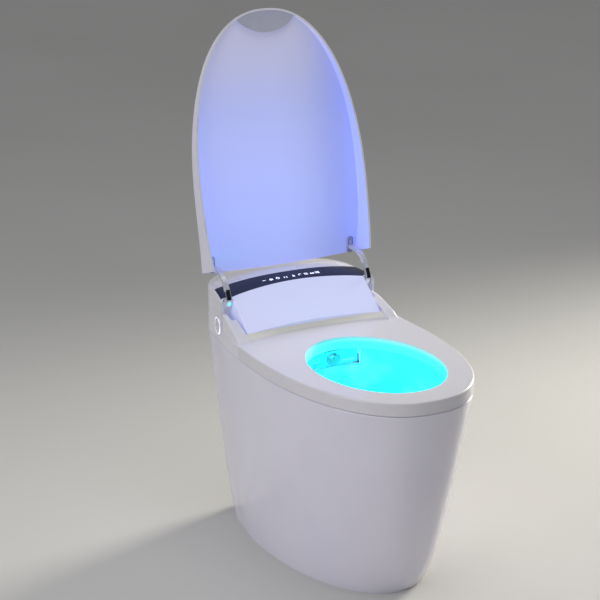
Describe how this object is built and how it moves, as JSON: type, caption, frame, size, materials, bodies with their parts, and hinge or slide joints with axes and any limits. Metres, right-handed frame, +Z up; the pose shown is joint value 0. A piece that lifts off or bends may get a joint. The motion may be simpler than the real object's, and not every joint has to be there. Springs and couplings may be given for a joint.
{
  "type": "smart toilet",
  "caption": "Floor-standing one-piece smart toilet: flared glazed body, lid raised on gooseneck arms, heated seat, lit bowl, side knob and sliding spray wand",
  "frame": {"origin": "on the floor under the middle of the whole object with its lid open", "axes": "+Z up, -Y towards the front tip of the seat, +X to the object's right-hand side as seen from the front"},
  "size_m": [0.39, 0.7035, 1.0756],
  "materials": {
    "glazed_body": "glossy glaze, light grey with a faint lavender cast",
    "shell_plastic": "satin to gloss moulded plastic, light lavender grey",
    "seat_plastic": "smooth satin moulded plastic",
    "black_glass": "gloss black touch strip",
    "inner_plastic": "matt dark moulded plastic",
    "white_plastic": "matt white moulded plastic",
    "steel": "brushed stainless steel",
    "arm_metal": "satin lavender grey coating on steel",
    "black_insert": "matt black",
    "rubber": "soft grey rubber",
    "lamp_cyan": "translucent lens lit cyan",
    "lamp_white": "translucent ring lit white",
    "board": "green circuit board with dark chips",
    "metal_case": "plain sheet aluminium",
    "brass": "turned brass"
  },
  "bodies": {
    "housing": {"ceramic_body": "glazed_body", "trap_pipe": "inner_plastic", "floor_seal": "rubber", "floor_brackets": "steel", "base_tray": "inner_plastic", "rear_casing": "shell_plastic", "top_cover": "shell_plastic", "display_strip": "black_glass", "icon_board": "board", "slope_panel": "shell_plastic", "wing_right": "shell_plastic", "wing_left": "shell_plastic", "hinge_pin_right": "steel", "hinge_pin_left": "steel", "lid_drive": "inner_plastic", "seat_drive": "inner_plastic", "knob_bezel": "arm_metal", "knob_light": "lamp_white", "nozzle_guard": "shell_plastic", "night_light": "lamp_cyan", "wand_cradle": "inner_plastic", "wand_motor": "metal_case", "dryer_duct": "inner_plastic", "dryer_volute": "inner_plastic", "fan_motor": "metal_case", "water_heater": "white_plastic", "inlet_valve": "inner_plastic", "inlet_fitting": "brass", "power_gland": "inner_plastic", "spray_pump": "inner_plastic", "control_board": "board", "power_supply": "metal_case", "deodoriser": "inner_plastic"},
    "lid": {"lid_shell": "shell_plastic", "lid_grip": "shell_plastic", "lid_rim_pads": "rubber", "lid_bracket_right": "arm_metal", "lid_bracket_left": "arm_metal", "lid_arm_right": "arm_metal", "lid_arm_left": "arm_metal", "arm_insert_right": "black_insert", "arm_insert_left": "black_insert", "status_light": "lamp_cyan"},
    "seat": {"seat_top": "seat_plastic", "seat_base": "seat_plastic", "seat_heater": "inner_plastic", "seat_bumpers": "rubber", "seat_arm_right": "steel", "seat_arm_left": "steel"},
    "knob": {"knob_dial": "shell_plastic"},
    "button": {"flush_button": "arm_metal"},
    "wand": {"spray_wand": "white_plastic"},
    "pinion": {"wand_pinion": "white_plastic"},
    "fan": {"fan_impeller": "white_plastic"}
  },
  "joints": [
    {"name": "lid_hinge", "type": "hinge", "parent": "housing", "child": "lid", "pos_m": [0, 0.2411, 0.4891], "axis": [1, 0, 0], "range_deg": [0, 103.93]},
    {"name": "seat_hinge", "type": "hinge", "parent": "housing", "child": "seat", "pos_m": [0, 0.2411, 0.4891], "axis": [1, 0, 0], "range_deg": [-101, 0]},
    {"name": "wand_slide", "type": "slide", "parent": "housing", "child": "wand", "axis": [0, -0.9848, -0.1736], "range_m": [0, 0.11]},
    {"name": "pinion_spin", "type": "hinge", "parent": "housing", "child": "pinion", "pos_m": [0, 0.1481, 0.43556], "axis": [1, 0, 0], "range_deg": [-788, 0]},
    {"name": "fan_spin", "type": "hinge", "parent": "housing", "child": "fan", "pos_m": [-0.0425, 0.2517, 0.458], "axis": [1, 0, 0], "continuous": true},
    {"name": "knob_turn", "type": "hinge", "parent": "housing", "child": "knob", "pos_m": [-0.17841, 0.2157, 0.449], "axis": [-0.9868, 0.1621, 0], "range_deg": [-150, 150]},
    {"name": "button_press", "type": "slide", "parent": "knob", "child": "button", "axis": [0.9868, -0.1621, 0], "range_m": [0, 0.0012], "stiffness_N_per_m": 500}
  ],
  "couplings": [
    {"joint": "pinion_spin", "follows": "wand_slide", "rad_per_m": -125}
  ]
}
